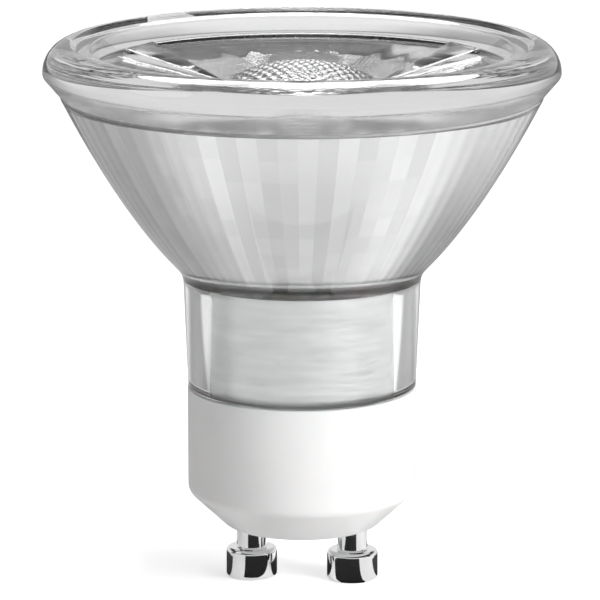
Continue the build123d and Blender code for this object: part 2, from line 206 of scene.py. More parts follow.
def paintOut(tree, start, end, geometry):
    # a tree's last step puts its finish on
    paint = tree.nodes.new("GeometryNodeSetMaterial")
    tree.links.new(geometry, paint.inputs["Geometry"])
    tree.links.new(start.outputs["Finish"], paint.inputs["Material"])
    tree.links.new(paint.outputs[0], end.inputs[0])


# material helpers
def newFinish(name, **sockets):
    mat = bpy.data.materials.new(name)
    mat.use_nodes = True
    shader = mat.node_tree.nodes["Principled BSDF"]
    for label, value in sockets.items():
        shader.inputs[label].default_value = value
    return mat, mat.node_tree, shader


def grain(tree, size, detail=3.0, stretch=(1, 1, 1)):
    # noise on Object coordinates; size is the grain in mm
    coord = tree.nodes.new("ShaderNodeTexCoord")
    mapping = tree.nodes.new("ShaderNodeMapping")
    mapping.inputs["Scale"].default_value = stretch
    texture = tree.nodes.new("ShaderNodeTexNoise")
    texture.inputs["Scale"].default_value = 1 / (size * mm)
    texture.inputs["Detail"].default_value = detail
    tree.links.new(coord.outputs["Object"], mapping.inputs["Vector"])
    tree.links.new(mapping.outputs[0], texture.inputs["Vector"])
    return texture.outputs["Fac"]


def mapRange(tree, source, fromRange, toRange=(0, 1), kind="LINEAR"):
    node = addNode(tree, "ShaderNodeMapRange", interpolation_type=kind)
    node.inputs["From Min"].default_value, node.inputs["From Max"].default_value = fromRange
    node.inputs["To Min"].default_value, node.inputs["To Max"].default_value = toRange
    tree.links.new(source, node.inputs["Value"])
    return node.outputs["Result"]


def spread(tree, source, low, high):
    return mapRange(tree, source, (noiseLow, noiseHigh), (low, high))


def ramp(tree, source, start, end):
    # 0 before the start and 1 past the end, either way along the axis
    if start < end:
        return mapRange(tree, source, (start, end), (0, 1), "SMOOTHSTEP")
    return mapRange(tree, source, (end, start), (1, 0), "SMOOTHSTEP")


def tint(tree, source, dark, light):
    node = tree.nodes.new("ShaderNodeValToRGB")
    for element, position, colour in zip(node.color_ramp.elements, (noiseLow, noiseHigh), (dark, light)):
        element.position = position
        element.color = (*colour, 1)
    tree.links.new(source, node.inputs["Fac"])
    return node.outputs["Color"]


def grey(tree, level):
    colour = tree.nodes.new("ShaderNodeCombineColor")
    for channel in range(3):
        tree.links.new(level, colour.inputs[channel])
    return colour.outputs[0]


def relief(tree, shader, source, strength, distance):
    bump = tree.nodes.new("ShaderNodeBump")
    bump.inputs["Strength"].default_value = strength
    bump.inputs["Distance"].default_value = distance * mm
    tree.links.new(source, bump.inputs["Height"])
    tree.links.new(bump.outputs["Normal"], shader.inputs["Normal"])


def grainedFinish(name, v, **sockets):
    # colour, gloss and relief each follow a grain: its size in mm, then its detail and stretch
    mat, tree, shader = newFinish(name, **sockets)
    colour = tint(tree, grain(tree, *v["tintGrain"]), *v["tint"])
    tree.links.new(colour, shader.inputs["Base Color"])
    gloss = spread(tree, grain(tree, *v["glossGrain"]), *v["gloss"])
    tree.links.new(gloss, shader.inputs["Roughness"])
    relief(tree, shader, grain(tree, *v["reliefGrain"]), *v["relief"])
    return mat


# clear lens
lensSizes = {
    "diameter": 50.0, "seatHeight": 48.50, "crestHeight": 53.45, "rimRadius": 23.3, "flareHeight": 2.0,
    "beadWidth": 2.6, "beadDrop": 2.7, "beadSteps": 10, "crestRadius": 22.3, "ringRadius": 20.4,
    "ringStep": 0.5, "recessRadius": 20.0, "recessHeight": 51.15, "dishHeight": 48.65,
    "domeRadius": 8.65, "domeHeight": 2.9, "wall": 2.8, "seatRadius": 21.38,
    "recessEdge": 0.25, "ringEdge": 0.2, "stepEdge": 0.15, "crestEdge": 0.2, "flareEdge": 0.8,
    "seatEdge": 0.25, "boreEdge": 0.05, "segments": 240, "domeRings": 92, "smoothAngle": 70,
    "lensletPitch": 1.0, "lensletRise": 0.22, "lensletSink": 0.09, "domeMargin": 0.35, "footSlack": 0.05,
    "ribCount": 3, "ribTurn": -84.0, "ribReach": 18.6, "ribWidth": 6.6, "ribHeight": 0.9,
    "ribTipWidth": 0.9, "ribTipHeight": 0.2, "ribDraft": 30.0, "ribSink": 0.3, "ribEdge": 0.3,
    "ribEdgeSteps": 4, "satin": 0.22, "satinRadii": (20.5, 21.5), "satinHeights": (51.7, 51.2),
    "glossGrain": 6, "gloss": (0.0, 0.02),
}


def clearLensFinish(v):
    mat, tree, shader = newFinish(
        "clearLens", **{"Base Color": (0.92, 0.92, 0.92, 1), "IOR": 1.49, "Transmission Weight": 1.0}
    )
    x, y, z = axes(tree, tree.nodes.new("ShaderNodeTexCoord").outputs["Object"])
    out = calc(tree, "SQRT", squareSum(tree, x, y))
    satin = v["satin"]  # the rim's side is satin, the rest is clear
    for value, (start, end) in ((out, v["satinRadii"]), (z, v["satinHeights"])):
        satin = calc(tree, "MULTIPLY", satin, mapRange(tree, value, (start * mm, end * mm)))
    mottle = spread(tree, grain(tree, v["glossGrain"]), *v["gloss"])
    tree.links.new(calc(tree, "ADD", satin, mottle), shader.inputs["Roughness"])
    return mat


def lensletTree():
    # pushes the dome's skin out into a honeycomb of round lenslets
    tree, start, end = newTree("lensletDome", [
        ("Lenslet Pitch", "Float"), ("Lenslet Rise", "Float"), ("Lenslet Sink", "Float"),
        ("Dome Radius", "Float"), ("Dome Foot", "Float"), ("Ball Centre", "Float"),
        ("Edge Fade", "Float"), ("Finish", "Material"),
    ])
    x, y, z = axes(tree, tree.nodes.new("GeometryNodeInputPosition").outputs[0])
    pitch = start.outputs["Lenslet Pitch"]
    rowPitch = calc(tree, "MULTIPLY", pitch, math.sqrt(3))

    def toNearest(value, step, share):
        # distance to the nearest of a row of marks
        moved = calc(tree, "SUBTRACT", value, calc(tree, "MULTIPLY", step, share))
        mark = calc(tree, "SNAP", calc(tree, "ADD", moved, calc(tree, "MULTIPLY", step, 0.5)), step)
        return calc(tree, "SUBTRACT", moved, mark)

    gaps = []
    for share in (0.0, 0.5):
        gaps.append(squareSum(tree, toNearest(x, pitch, share), toNearest(y, rowPitch, share)))
    nearest = calc(tree, "MINIMUM", *gaps)
    # a cap falls to nothing at its cell's corners, whose distance squared is a third of the pitch squared
    reach = calc(tree, "DIVIDE", calc(tree, "MULTIPLY", pitch, pitch), 3.0)
    cap = calc(tree, "SUBTRACT", 1.0, calc(tree, "DIVIDE", nearest, reach))
    out = calc(tree, "SQRT", squareSum(tree, x, y))
    inside = calc(tree, "SUBTRACT", start.outputs["Dome Radius"], out)
    fade = calc(tree, "DIVIDE", inside, start.outputs["Edge Fade"])
    fade = calc(tree, "MINIMUM", 1.0, calc(tree, "MAXIMUM", 0.0, fade))
    onTop = calc(tree, "GREATER_THAN", z, start.outputs["Dome Foot"])
    raised = calc(tree, "MULTIPLY", cap, start.outputs["Lenslet Rise"])
    swell = calc(tree, "SUBTRACT", raised, start.outputs["Lenslet Sink"])
    push = calc(tree, "MULTIPLY", calc(tree, "MULTIPLY", swell, fade), onTop)
    away = tree.nodes.new("ShaderNodeCombineXYZ")
    tree.links.new(x, away.inputs[0])
    tree.links.new(y, away.inputs[1])
    tree.links.new(calc(tree, "SUBTRACT", z, start.outputs["Ball Centre"]), away.inputs[2])
    unit = addNode(tree, "ShaderNodeVectorMath", operation="NORMALIZE")
    tree.links.new(away.outputs[0], unit.inputs[0])
    offset = addNode(tree, "ShaderNodeVectorMath", operation="SCALE")
    tree.links.new(unit.outputs[0], offset.inputs[0])
    tree.links.new(push, offset.inputs["Scale"])
    mover = tree.nodes.new("GeometryNodeSetPosition")
    tree.links.new(start.outputs["Geometry"], mover.inputs["Geometry"])
    tree.links.new(offset.outputs[0], mover.inputs["Offset"])
    paintOut(tree, start, end, realized(tree, mover.outputs[0]))
    return tree


def ribTree():
    # copies one rib round the axis and fuses the ring of ribs with the lens
    tree, start, end = newTree("ribRing", [
        ("Rib", "Object"), ("Rib Count", "Int"), ("First Turn", "Float"), ("Finish", "Material"),
    ])
    ring = tree.nodes.new("GeometryNodeMeshCircle")
    tree.links.new(start.outputs["Rib Count"], ring.inputs["Vertices"])
    ring.inputs["Radius"].default_value = 0.0
    rib = tree.nodes.new("GeometryNodeObjectInfo")
    tree.links.new(start.outputs["Rib"], rib.inputs["Object"])
    order = tree.nodes.new("GeometryNodeInputIndex")
    step = calc(tree, "DIVIDE", fullTurn, start.outputs["Rib Count"])
    turn = calc(tree, "ADD", calc(tree, "MULTIPLY", order.outputs[0], step), start.outputs["First Turn"])
    spin = tree.nodes.new("ShaderNodeCombineXYZ")
    tree.links.new(turn, spin.inputs[2])
    copies = tree.nodes.new("GeometryNodeInstanceOnPoints")
    tree.links.new(ring.outputs[0], copies.inputs["Points"])
    tree.links.new(rib.outputs["Geometry"], copies.inputs["Instance"])
    tree.links.new(spin.outputs[0], copies.inputs["Rotation"])
    fuse = addNode(tree, "GeometryNodeMeshBoolean", operation="UNION", solver="MANIFOLD")
    tree.links.new(start.outputs["Geometry"], fuse.inputs["Mesh 2"])
    tree.links.new(realized(tree, copies.outputs[0]), fuse.inputs["Mesh 2"])
    paintOut(tree, start, end, fuse.outputs["Mesh"])
    return tree


def dishSlope(v):
    return (v["recessHeight"] - v["dishHeight"]) / (v["recessRadius"] - v["domeRadius"])


def makeRib(v):
    # flat-topped bar along +X, wide at the rim and narrow at the dome, with leaning flanks
    work = bmesh.new()
    ends = []
    for r, width, height in (
        (v["ribReach"], v["ribWidth"], v["ribHeight"]),
        (v["domeRadius"] - v["ribSink"], v["ribTipWidth"], v["ribTipHeight"]),
    ):
        z = v["dishHeight"] + dishSlope(v) * (r - v["domeRadius"])
        foot = width / 2
        top = foot - (height + v["ribSink"]) * math.tan(math.radians(v["ribDraft"]))
        ends.append([
            work.verts.new((r * mm, y * mm, (z + lift) * mm))
            for y, lift in ((-foot, -v["ribSink"]), (foot, -v["ribSink"]), (top, height), (-top, height))
        ])
    a, b = ends
    work.faces.new(a)
    work.faces.new(b[::-1])
    for k in range(4):
        n = (k + 1) % 4
        work.faces.new((a[n], a[k], b[k], b[n]))
    rib = newPiece("lensRib", meshFrom(work, "lensRib"))
    bevel = rib.modifiers.new("softEdge", "BEVEL")
    bevel.width = v["ribEdge"] * mm
    bevel.segments = v["ribEdgeSteps"]
    plainMesh(rib)
    return rib


def beadArc(v):
    # the rim's bead, a quarter of an ellipse from its flat top down to its side
    turns = [fullTurn / 4 * k / v["beadSteps"] for k in range(v["beadSteps"] + 1)]
    return [
        (v["diameter"] / 2 - v["beadWidth"] * (1 - math.sin(turn)),
         v["crestHeight"] - v["beadDrop"] * (1 - math.cos(turn)), 0)
        for turn in turns
    ]


def makeLens(v):
    finish = clearLensFinish(v)
    ballRadius = (v["domeRadius"] ** 2 + v["domeHeight"] ** 2) / (2 * v["domeHeight"])
    ballCentre = v["dishHeight"] + v["domeHeight"] - ballRadius
    outline = [(0, v["dishHeight"] + v["domeHeight"])]
    for k in range(1, v["domeRings"]):
        r = v["domeRadius"] * k / v["domeRings"]
        outline.append((r, ballCentre + math.sqrt(ballRadius ** 2 - r ** 2)))
    dishAtSeat = v["dishHeight"] + dishSlope(v) * (v["seatRadius"] - v["domeRadius"])
    outline += roundCorners([
        (v["domeRadius"], v["dishHeight"], 0),
        (v["recessRadius"], v["recessHeight"], v["recessEdge"]),
        (v["ringRadius"], v["crestHeight"] - v["ringStep"], v["ringEdge"]),
        (v["crestRadius"] - v["ringStep"], v["crestHeight"] - v["ringStep"], v["stepEdge"]),
        (v["crestRadius"], v["crestHeight"], v["crestEdge"]),
        *beadArc(v),
        (v["diameter"] / 2, v["seatHeight"] + v["flareHeight"], v["flareEdge"]),
        (v["rimRadius"], v["seatHeight"], v["seatEdge"]),
        (v["seatRadius"], v["seatHeight"], v["boreEdge"]),
        (v["seatRadius"], dishAtSeat - v["wall"], v["boreEdge"]),
        (v["domeRadius"], v["dishHeight"] - v["wall"], 0),
        (0, v["dishHeight"] - v["wall"], 0),
    ])
    lens = newPiece("frontLens", turnedMesh("frontLens", outline, v["segments"]))
    useTree(lens, lensletTree(), {
        "Lenslet Pitch": v["lensletPitch"] * mm, "Lenslet Rise": v["lensletRise"] * mm,
        "Lenslet Sink": v["lensletSink"] * mm, "Dome Radius": v["domeRadius"] * mm,
        "Dome Foot": (v["dishHeight"] - v["footSlack"]) * mm, "Ball Centre": ballCentre * mm,
        "Edge Fade": v["domeMargin"] * mm, "Finish": finish,
    })
    rib = makeRib(v)
    useTree(lens, ribTree(), {
        "Rib": rib, "Rib Count": v["ribCount"], "First Turn": math.radians(v["ribTurn"]), "Finish": finish,
    })
    mesh = plainMesh(lens)
    bpy.data.objects.remove(rib)
    recoat(mesh, finish)
    smoothShade(mesh, v["smoothAngle"])
    settle(lens, "clear_lens", "front_lens")


makeLens(lensSizes)

# faceted glass cup
cupSizes = {
    "spigotFoot": 15.6, "spigotRadius": 9.95, "neckFoot": 19.62, "neckFootRadius": 11.15,
    "neckTop": 30.8, "neckTopRadius": 11.6, "neckFillet": 2.5, "filletShare": 0.75, "rimRadius": 23.3,
    "boreRadius": 8.9, "focalLength": 5.85, "wall": 1.7, "throatRadius": 9.5,
    "neckEdge": 0.25, "shoulderEdge": 0.1, "spigotEdge": 0.2,
    "facetsRound": 72, "facetRows": 10, "stepsPerFacet": 4, "outerRings": 36, "weldGap": 0.005,
    "ringSlack": 0.01, "mirrorTone": 0.82, "columnSwing": 0.12, "facetSwing": 0.05,
    "mirrorGrain": 2, "mirrorGloss": (0.15, 0.18), "glassGrain": 9, "glassGloss": (0.0, 0.02),
}


def cupGlassFinish(v):
    mat, tree, shader = newFinish(
        "cupGlass", **{"Base Color": (0.985, 0.995, 0.99, 1), "IOR": 1.5, "Transmission Weight": 1.0}
    )
    gloss = spread(tree, grain(tree, v["glassGrain"]), *v["glassGloss"])
    tree.links.new(gloss, shader.inputs["Roughness"])
    return mat


def mirrorFinish(v):
    mat, tree, shader = newFinish("mirrorCoat", Metallic=1.0)
    grid = axes(tree, addNode(tree, "ShaderNodeUVMap", uv_map="facetGrid").outputs[0])
    cell = tree.nodes.new("ShaderNodeCombineXYZ")
    for axis, count in ((0, v["facetsRound"]), (1, v["facetRows"])):
        index = calc(tree, "FLOOR", calc(tree, "MULTIPLY", grid[axis], count))
        tree.links.new(index, cell.inputs[axis])
    parts = []
    # a tone for each column and a smaller one for each facet
    for scale, swing in (((1, 0, 0), v["columnSwing"]), ((1, 1, 0), v["facetSwing"])):
        pick = addNode(tree, "ShaderNodeVectorMath", operation="MULTIPLY")
        pick.inputs[1].default_value = scale
        tree.links.new(cell.outputs[0], pick.inputs[0])
        chance = addNode(tree, "ShaderNodeTexWhiteNoise", noise_dimensions="3D")
        tree.links.new(pick.outputs[0], chance.inputs["Vector"])
        parts.append(calc(tree, "MULTIPLY", calc(tree, "SUBTRACT", chance.outputs["Value"], 0.5), swing))
    level = calc(tree, "ADD", v["mirrorTone"], calc(tree, "ADD", *parts))
    tree.links.new(grey(tree, level), shader.inputs["Base Color"])
    gloss = spread(tree, grain(tree, v["mirrorGrain"]), *v["mirrorGloss"])
    tree.links.new(gloss, shader.inputs["Roughness"])
    return mat


def facetTree():
    # a grid rolled into rings of flat mirror facets on a paraboloid
    tree, start, end = newTree("facetRings", [
        ("Facets Round", "Int"), ("Facet Rows", "Int"), ("Steps Per Facet", "Int"),
        ("Throat Radius", "Float"), ("Mouth Radius", "Float"), ("Wall", "Float"),
        ("Focal Length", "Float"), ("Vertex Height", "Float"), ("Weld Gap", "Float"),
        ("Finish", "Material"),
    ])
    steps = start.outputs["Steps Per Facet"]
    columns = calc(tree, "MULTIPLY", start.outputs["Facets Round"], steps)
    grid = tree.nodes.new("GeometryNodeMeshGrid")
    tree.links.new(calc(tree, "ADD", columns, 1), grid.inputs["Vertices X"])
    tree.links.new(calc(tree, "ADD", start.outputs["Facet Rows"], 1), grid.inputs["Vertices Y"])
    grid.inputs["Size X"].default_value = 1
    grid.inputs["Size Y"].default_value = 1
    spot = axes(tree, tree.nodes.new("GeometryNodeInputPosition").outputs[0])
    column = calc(tree, "ROUND", calc(tree, "MULTIPLY", calc(tree, "ADD", spot[0], 0.5), columns))
    share = calc(tree, "ADD", spot[1], 0.5)
    corner = calc(tree, "FLOOR", calc(tree, "DIVIDE", calc(tree, "ADD", column, 0.5), steps))
    past = calc(tree, "SUBTRACT", column, calc(tree, "MULTIPLY", corner, steps))
    along = calc(tree, "DIVIDE", past, steps)
    angleStep = calc(tree, "DIVIDE", fullTurn, start.outputs["Facets Round"])
    thisTurn = calc(tree, "MULTIPLY", corner, angleStep)
    nextTurn = calc(tree, "ADD", thisTurn, angleStep)
    span = calc(tree, "SUBTRACT", start.outputs["Mouth Radius"], start.outputs["Throat Radius"])
    radius = calc(tree, "ADD", start.outputs["Throat Radius"], calc(tree, "MULTIPLY", share, span))
    place = tree.nodes.new("ShaderNodeCombineXYZ")
    for axis, wave in ((0, "COSINE"), (1, "SINE")):
        a, b = calc(tree, wave, thisTurn), calc(tree, wave, nextTurn)
        chord = calc(tree, "ADD", a, calc(tree, "MULTIPLY", along, calc(tree, "SUBTRACT", b, a)))
        tree.links.new(calc(tree, "MULTIPLY", radius, chord), place.inputs[axis])
    outer = calc(tree, "ADD", radius, start.outputs["Wall"])
    fourFocal = calc(tree, "MULTIPLY", 4, start.outputs["Focal Length"])
    rise = calc(tree, "DIVIDE", calc(tree, "MULTIPLY", outer, outer), fourFocal)
    tree.links.new(calc(tree, "ADD", start.outputs["Vertex Height"], rise), place.inputs[2])
    keep = addNode(tree, "GeometryNodeStoreNamedAttribute", data_type="FLOAT2", domain="CORNER")
    keep.inputs["Name"].default_value = "facetGrid"
    tree.links.new(grid.outputs["Mesh"], keep.inputs["Geometry"])
    tree.links.new(grid.outputs["UV Map"], keep.inputs["Value"])
    mover = tree.nodes.new("GeometryNodeSetPosition")
    tree.links.new(keep.outputs["Geometry"], mover.inputs["Geometry"])
    tree.links.new(place.outputs[0], mover.inputs["Position"])
    weld = tree.nodes.new("GeometryNodeMergeByDistance")
    tree.links.new(start.outputs["Weld Gap"], weld.inputs["Distance"])
    tree.links.new(mover.outputs[0], weld.inputs["Geometry"])
    paintOut(tree, start, end, realized(tree, weld.outputs[0]))
    return tree


def makeCup(v):
    glass, mirror = cupGlassFinish(v), mirrorFinish(v)
    vertex = v["neckTop"] - v["neckTopRadius"] ** 2 / (4 * v["focalLength"])

    def bowl(r):
        return vertex + r * r / (4 * v["focalLength"])

    mouthRadius = v["rimRadius"] - v["wall"]
    facets = newPiece("facetRings", bpy.data.meshes.new("facetRings"))
    useTree(facets, facetTree(), {
        "Facets Round": v["facetsRound"], "Facet Rows": v["facetRows"],
        "Steps Per Facet": v["stepsPerFacet"], "Throat Radius": v["throatRadius"] * mm,
        "Mouth Radius": mouthRadius * mm, "Wall": v["wall"] * mm, "Focal Length": v["focalLength"] * mm,
        "Vertex Height": vertex * mm, "Weld Gap": v["weldGap"] * mm, "Finish": mirror,
    })
    facetMesh = plainMesh(facets)
    bpy.data.objects.remove(facets)
    segments = v["facetsRound"] * v["stepsPerFacet"]
    bowlEnd = v["neckTopRadius"] + v["filletShare"] * v["neckFillet"]  # the fillet takes over from here
    reach = v["rimRadius"] - bowlEnd
    radii = [v["rimRadius"] - reach * k / v["outerRings"] for k in range(v["outerRings"] + 1)]
    skin = [(r, bowl(r)) for r in radii]
    throat = bowl(v["throatRadius"] + v["wall"])
    # the neck fillet, the neck, the spigot and the bore, from the bowl's foot to the throat
    foot = roundCorners([
        (*skin[-1], 0), (v["neckTopRadius"], v["neckTop"], v["neckFillet"]),
        (v["neckFootRadius"], v["neckFoot"], v["neckEdge"]),
        (v["spigotRadius"], v["neckFoot"], v["shoulderEdge"]),
        (v["spigotRadius"], v["spigotFoot"], v["spigotEdge"]),
        (v["boreRadius"], v["spigotFoot"], v["spigotEdge"]),
        (v["boreRadius"], throat, v["shoulderEdge"]), (v["throatRadius"], throat, 0),
    ])
    work = bmesh.new()
    work.from_mesh(facetMesh)
    for face in work.faces:
        face.material_index = 1
        face.smooth = False

    def turnOf(vert):
        return round(math.atan2(vert.co.y, vert.co.x), 5) % fullTurn

    def edgeRing(z):
        # the facets' own border vertices at that height, in order round the axis
        slack = v["ringSlack"] * mm
        ring = [vert for vert in work.verts if vert.is_boundary and abs(vert.co.z - z * mm) < slack]
        return sorted(ring, key=turnOf)

    top, low = edgeRing(bowl(v["rimRadius"])), edgeRing(throat)
    rings = [top] + [addRing(work, r, z, segments) for r, z in skin + foot[1:-1]] + [low]
    for face in joinRings(work, rings, segments):
        face.smooth = True
    mesh = meshFrom(work, "glassCup")
    mesh.materials.append(glass)
    mesh.materials.append(mirror)
    mesh.set_sharp_from_angle(angle=math.radians(smoothAngle))
    settle(newPiece("glassCup", mesh), "mirrored_glass", "glass_reflector")


makeCup(cupSizes)

# rolled sleeve in the neck
sleeveSizes = {
    "radius": 8.8, "wall": 0.6, "foot": 15.4, "top": 30.3, "seamTurn": 90.0, "seamGap": 0.3,
    "segments": 220, "rows": 70, "smoothAngle": 40,
    "dentDepth": 0.03, "dentSize": 2.6, "dentSquash": 1.6, "dentBias": 0.6,
    "tint": ((0.84, 0.84, 0.85), (0.94, 0.94, 0.94)), "tintGrain": (2.5, 4, (0.25, 0.25, 3.0)),
    "gloss": (0.32, 0.44), "glossGrain": (1.2, 4, (0.3, 0.3, 4.0)),
    "relief": (0.06, 0.05), "reliefGrain": (0.8, 4, (0.2, 0.2, 3.0)),
}


def makeSleeve(v):
    work = bmesh.new()
    half = v["seamGap"] / 2 / v["radius"]
    walls = []
    for r in (v["radius"], v["radius"] - v["wall"]):
        grid = []
        for i in range(v["rows"] + 1):
            z = v["foot"] + (v["top"] - v["foot"]) * i / v["rows"]
            row = []
            for k in range(v["segments"] + 1):
                turn = math.radians(v["seamTurn"]) + half + (fullTurn - 2 * half) * k / v["segments"]
                c, s = math.cos(turn), math.sin(turn)
                spot = Vector((c * r, s * r, z * v["dentSquash"])) / v["dentSize"]
                dent = v["dentDepth"] * (noise.noise(spot) - v["dentBias"])
                dented = r + min(0.0, dent)
                row.append(work.verts.new((dented * mm * c, dented * mm * s, z * mm)))
            grid.append(row)
        walls.append(grid)
    outer, inner = walls
    last = v["segments"]
    for i in range(v["rows"]):
        for k in range(last):
            work.faces.new((outer[i][k], outer[i][k + 1], outer[i + 1][k + 1], outer[i + 1][k]))
            work.faces.new((inner[i][k + 1], inner[i][k], inner[i + 1][k], inner[i + 1][k + 1]))
        work.faces.new((inner[i][0], outer[i][0], outer[i + 1][0], inner[i + 1][0]))
        work.faces.new((outer[i][last], inner[i][last], inner[i + 1][last], outer[i + 1][last]))
    for k in range(last):
        work.faces.new((inner[0][k], inner[0][k + 1], outer[0][k + 1], outer[0][k]))
        work.faces.new((outer[-1][k], outer[-1][k + 1], inner[-1][k + 1], inner[-1][k]))
    mesh = meshFrom(work, "neckSleeve")
    smoothShade(mesh, v["smoothAngle"])
    mesh.materials.append(grainedFinish("rolledAluminium", v, Metallic=1.0))
    settle(newPiece("neckSleeve", mesh), "sleeve_aluminium", "heat_sink_sleeve")


makeSleeve(sleeveSizes)

# white base cap
baseSizes = {
    "radius": 11.2, "foot": 5.7, "top": 19.6, "chamferWidth": 3.7, "chamferHeight": 3.5, "edge": 1.2,
    "topEdge": 0.18, "rimEdge": 0.1, "rimWall": 1.1, "ledge": 15.4, "bore": 8.0, "well": 10.0,
    "wellRadius": 7.0, "floor": 7.5, "pinSpacing": 10.0, "pinHole": 2.3, "rivetSeat": 2.9,
    "rivetDepth": 0.6, "drillPast": 1.0, "drillSegments": 48, "segments": 200, "smoothAngle": 30,
    "tint": ((0.775, 0.775, 0.77), (0.81, 0.81, 0.805)), "tintGrain": (8, 4),
    "gloss": (0.36, 0.46), "glossGrain": (1.0,), "relief": (0.06, 0.02), "reliefGrain": (0.25,),
}


def makeBase(v):
    rim = v["radius"] - v["rimWall"]
    outline = roundCorners([
        (0, v["foot"], 0), (v["radius"] - v["chamferWidth"], v["foot"], v["edge"]),
        (v["radius"], v["foot"] + v["chamferHeight"], v["edge"]), (v["radius"], v["top"], v["topEdge"]),
        (rim, v["top"], v["rimEdge"]), (rim, v["ledge"], 0), (v["bore"], v["ledge"], 0),
        (v["bore"], v["well"], 0), (v["wellRadius"], v["well"], 0), (v["wellRadius"], v["floor"], 0),
        (0, v["floor"], 0),
    ])
    base = newPiece("baseCap", turnedMesh("baseCap", outline, v["segments"]))
    # a through hole for each pin's tail and a wider seat for its rivet
    hole, seat = v["pinHole"] / 2, v["rivetSeat"] / 2
    below, step, above = v["foot"] - v["drillPast"], v["floor"] - v["rivetDepth"], v["floor"] + v["drillPast"]
    drill = [(0, below), (hole, below), (hole, step), (seat, step), (seat, above), (0, above)]
    drills = []
    for side in (-1, 1):
        mesh = turnedMesh("pinDrill", drill, v["drillSegments"])
        shiftSide(mesh, side * v["pinSpacing"] / 2)
        drills.append(newPiece("pinDrill", mesh))
        cut = base.modifiers.new("pinHole", "BOOLEAN")
        cut.operation = "DIFFERENCE"
        cut.solver = "MANIFOLD"
        cut.object = drills[-1]
    mesh = plainMesh(base)
    for tool in drills:
        bpy.data.objects.remove(tool)
    recoat(mesh, grainedFinish(
        "whiteBase", v, **{"IOR": 1.5, "Subsurface Weight": 0.12, "Subsurface Scale": 0.002}
    ))
    smoothShade(mesh, v["smoothAngle"])
    settle(base, "white_base", "base_cap")


makeBase(baseSizes)

# contact pins
pinSizes = {
    "spacing": 10.0, "headRadius": 2.5, "headHeight": 3.0, "headEdge": 0.4, "neckRadius": 1.5,
    "neckTop": 5.7, "neckEdge": 0.12, "neckTopEdge": 0.08, "tailRadius": 1.1, "rivetFoot": 6.9,
    "rivetRadius": 1.4, "rivetTop": 7.5, "rivetEdge": 0.2, "segments": 96,
    "tint": ((0.86, 0.86, 0.87), (0.93, 0.93, 0.93)), "tintGrain": (1.5,),
    "gloss": (0.03, 0.07), "glossGrain": (0.5, 3, (0.2, 0.2, 5.0)),
    "relief": (0.04, 0.02), "reliefGrain": (0.15, 2, (0.05, 0.05, 3.0)),
}


def makePins(v):
    finish = grainedFinish("pinChrome", v, Metallic=1.0)
    outline = roundCorners([
        (0, 0, 0), (v["headRadius"], 0, v["headEdge"]), (v["headRadius"], v["headHeight"], v["headEdge"]),
        (v["neckRadius"], v["headHeight"], v["neckEdge"]), (v["neckRadius"], v["neckTop"], v["neckTopEdge"]),
        (v["tailRadius"], v["neckTop"], 0), (v["tailRadius"], v["rivetFoot"], 0),
        (v["rivetRadius"], v["rivetFoot"], 0), (v["rivetRadius"], v["rivetTop"], v["rivetEdge"]),
        (0, v["rivetTop"], 0),
    ])
    for side, word in ((-1, "left"), (1, "right")):
        mesh = turnedMesh("contactPin" + word.title(), outline, v["segments"])
        shiftSide(mesh, side * v["spacing"] / 2)
        mesh.materials.append(finish)
        settle(newPiece("contactPin" + word.title(), mesh), "pin_metal", "contact_pin_" + word)


makePins(pinSizes)

